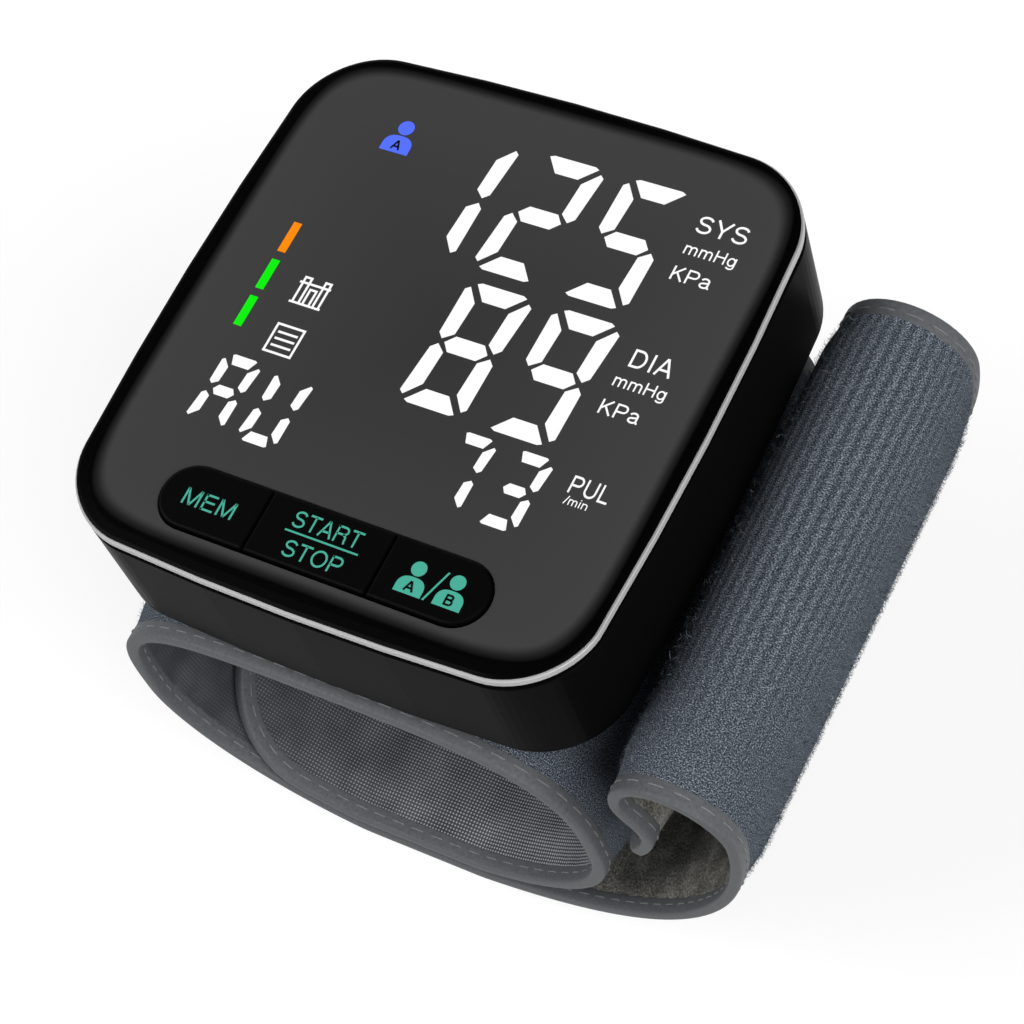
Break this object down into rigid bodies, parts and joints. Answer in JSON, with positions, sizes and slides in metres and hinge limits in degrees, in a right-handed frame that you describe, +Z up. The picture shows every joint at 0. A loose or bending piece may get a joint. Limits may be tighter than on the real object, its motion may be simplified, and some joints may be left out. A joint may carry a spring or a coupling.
{
  "type": "wrist blood pressure monitor",
  "caption": "Wrist blood pressure monitor: flat bowed-square case with a glossy front and a pill row of keys, on a fabric cuff rolled into a wrist loop with a folded strap end.",
  "frame": {"origin": "on the table, under the middle of the case, at the flat underside of the cuff", "axes": "+Z up out of the display, +X to the right of its lettering, +Y to the top of its lettering"},
  "size_m": [0.089, 0.0741, 0.0708],
  "materials": {
    "lens_gloss": "black printed acrylic, polished",
    "case_black": "black moulded ABS, semi-gloss",
    "key_black": "black moulded, satin",
    "trim_silver": "satin silver",
    "inner_plastic": "moulded",
    "board": "solder resist",
    "steel": "nickel-plated steel",
    "cell_wrap": "printed steel can",
    "silicone": "silicone tube",
    "cover_cloth": "brushed loop fabric with fine ribs",
    "lining_cloth": "woven nylon",
    "hook_cloth": "felted hook fabric",
    "binding_tape": "woven binding tape, stitched",
    "film": "welded sheet"
  },
  "bodies": {
    "case": {"front_lens": "lens_gloss", "trim_ring": "trim_silver", "front_rim": "inner_plastic", "rear_case": "case_black", "case_screw_1": "steel", "case_screw_2": "steel", "case_screw_3": "steel", "case_screw_4": "steel", "mem_switch": "inner_plastic", "start_stop_switch": "inner_plastic", "user_switch": "inner_plastic", "display_module": "lens_gloss", "main_board": "board", "pressure_sensor": "inner_plastic", "battery_1": "cell_wrap", "battery_2": "cell_wrap", "battery_spring_1": "steel", "battery_spring_2": "steel", "front_contact": "steel", "rear_contact": "steel", "pump_motor": "steel", "pump_head": "inner_plastic", "air_tee": "inner_plastic", "pump_tube": "silicone", "valve_tube": "silicone", "exhaust_valve": "steel", "cuff_nozzle": "inner_plastic", "cuff_mount_plate": "inner_plastic", "cuff_cover": "cover_cloth", "cuff_stiffener": "film", "cuff_bladder": "film", "cuff_lining": "lining_cloth", "cuff_binding": "binding_tape"},
    "mem_button": {"mem_key": "key_black"},
    "start_stop_button": {"start_stop_key": "key_black"},
    "user_button": {"user_key": "key_black"},
    "door": {"battery_door": "case_black"},
    "strap": {"strap_cover": "cover_cloth", "strap_lining": "hook_cloth", "strap_binding": "binding_tape"}
  },
  "joints": [
    {"name": "mem_press", "type": "slide", "parent": "case", "child": "mem_button", "axis": [0, 0, -1], "range_m": [0, 0.0004], "stiffness_N_per_m": 1500},
    {"name": "start_stop_press", "type": "slide", "parent": "case", "child": "start_stop_button", "axis": [0, 0, -1], "range_m": [0, 0.0004], "stiffness_N_per_m": 1500},
    {"name": "user_press", "type": "slide", "parent": "case", "child": "user_button", "axis": [0, 0, -1], "range_m": [0, 0.0004], "stiffness_N_per_m": 1500},
    {"name": "door_slide", "type": "slide", "parent": "case", "child": "door", "axis": [-1, 0, 0], "range_m": [0, 0.014]},
    {"name": "strap_fold", "type": "hinge", "parent": "case", "child": "strap", "pos_m": [-0.0351, -0.0036, 0.025], "axis": [0, 1, 0], "range_deg": [0, 50]}
  ]
}
